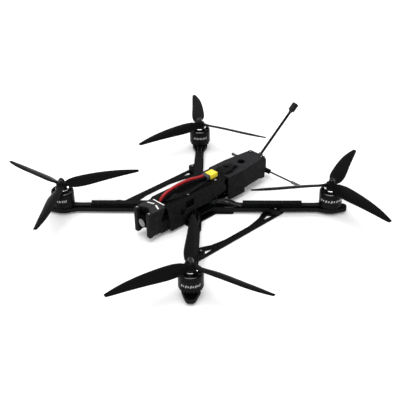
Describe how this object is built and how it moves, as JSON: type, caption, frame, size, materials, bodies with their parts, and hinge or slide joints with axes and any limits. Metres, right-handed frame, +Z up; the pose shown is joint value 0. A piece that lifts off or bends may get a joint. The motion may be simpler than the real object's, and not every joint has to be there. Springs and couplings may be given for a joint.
{
  "type": "racing drone",
  "caption": "Long-range quadcopter: X of flat carbon arms with side braces, slim boxed body, nose camera, battery lead, tail antennas and broad-bladed propellers.",
  "frame": {"origin": "middle of the bottom plate's underside", "axes": "+Z up, nose towards -Y, +X to the drone's left"},
  "size_m": [0.5519, 0.5424, 0.114],
  "materials": {
    "carbon": "woven carbon fibre plate, satin, cut edges paler",
    "printed": "printed black plastic with fine layer lines",
    "blade": "moulded black glass-filled nylon, semi-gloss",
    "motor_bell": "black anodised metal with a polished ring",
    "motor_base": "black anodised metal",
    "nut": "dark lock nut with a bright top",
    "wire": "black silicone wire insulation",
    "post": "black anodised standoff",
    "board": "circuit board with parts",
    "can": "dark metal can",
    "plug": "moulded yellow nylon",
    "lead_red": "red silicone wire insulation",
    "lead_black": "black silicone wire insulation",
    "antenna": "black heat-shrink sleeve",
    "lens": "round camera lens in a grey ring",
    "strap": "woven black strap",
    "brass": "gold plated connector"
  },
  "bodies": {
    "frame": {"bottom_plate": "carbon", "mid_plate": "carbon", "top_plate": "carbon", "left_brace": "carbon", "right_brace": "carbon", "nose_cage": "printed", "left_side_panel": "printed", "right_side_panel": "printed", "left_front_standoff": "post", "right_front_standoff": "post", "left_rear_standoff": "post", "right_rear_standoff": "post", "tail_housing": "printed", "speed_controller": "board", "flight_controller": "board", "video_transmitter": "can", "receiver": "board", "capacitor": "can", "antenna_connector": "brass", "antenna_stalk": "antenna", "antenna_cap": "antenna", "receiver_antenna": "antenna", "receiver_antenna_holder": "printed", "battery_lead_red": "lead_red", "battery_lead_black": "lead_black", "battery_plug": "plug", "battery_strap": "strap", "front_left_arm": "carbon", "front_left_arm_cover": "printed", "front_left_motor_wires": "wire", "front_left_motor_base": "motor_base", "front_right_arm": "carbon", "front_right_arm_cover": "printed", "front_right_motor_wires": "wire", "front_right_motor_base": "motor_base", "rear_left_arm": "carbon", "rear_left_arm_cover": "printed", "rear_left_motor_wires": "wire", "rear_left_motor_base": "motor_base", "rear_right_arm": "carbon", "rear_right_arm_cover": "printed", "rear_right_motor_wires": "wire", "rear_right_motor_base": "motor_base"},
    "camera": {"camera_body": "can", "camera_lens": "lens"},
    "front_left_rotor": {"front_left_motor_bell": "motor_bell", "front_left_propeller": "blade", "front_left_prop_nut": "nut"},
    "front_right_rotor": {"front_right_motor_bell": "motor_bell", "front_right_propeller": "blade", "front_right_prop_nut": "nut"},
    "rear_left_rotor": {"rear_left_motor_bell": "motor_bell", "rear_left_propeller": "blade", "rear_left_prop_nut": "nut"},
    "rear_right_rotor": {"rear_right_motor_bell": "motor_bell", "rear_right_propeller": "blade", "rear_right_prop_nut": "nut"}
  },
  "joints": [
    {"name": "front_left_spin", "type": "hinge", "parent": "frame", "child": "front_left_rotor", "pos_m": [0.15, -0.15, 0.03], "axis": [0, 0, 1], "continuous": true},
    {"name": "front_right_spin", "type": "hinge", "parent": "frame", "child": "front_right_rotor", "pos_m": [-0.15, -0.15, 0.03], "axis": [0, 0, 1], "continuous": true},
    {"name": "rear_left_spin", "type": "hinge", "parent": "frame", "child": "rear_left_rotor", "pos_m": [0.15, 0.15, 0.03], "axis": [0, 0, 1], "continuous": true},
    {"name": "rear_right_spin", "type": "hinge", "parent": "frame", "child": "rear_right_rotor", "pos_m": [-0.15, 0.15, 0.03], "axis": [0, 0, 1], "continuous": true},
    {"name": "camera_tilt", "type": "hinge", "parent": "frame", "child": "camera", "pos_m": [0, -0.098, 0.029], "axis": [-1, 0, 0], "range_deg": [-10, 30]}
  ]
}
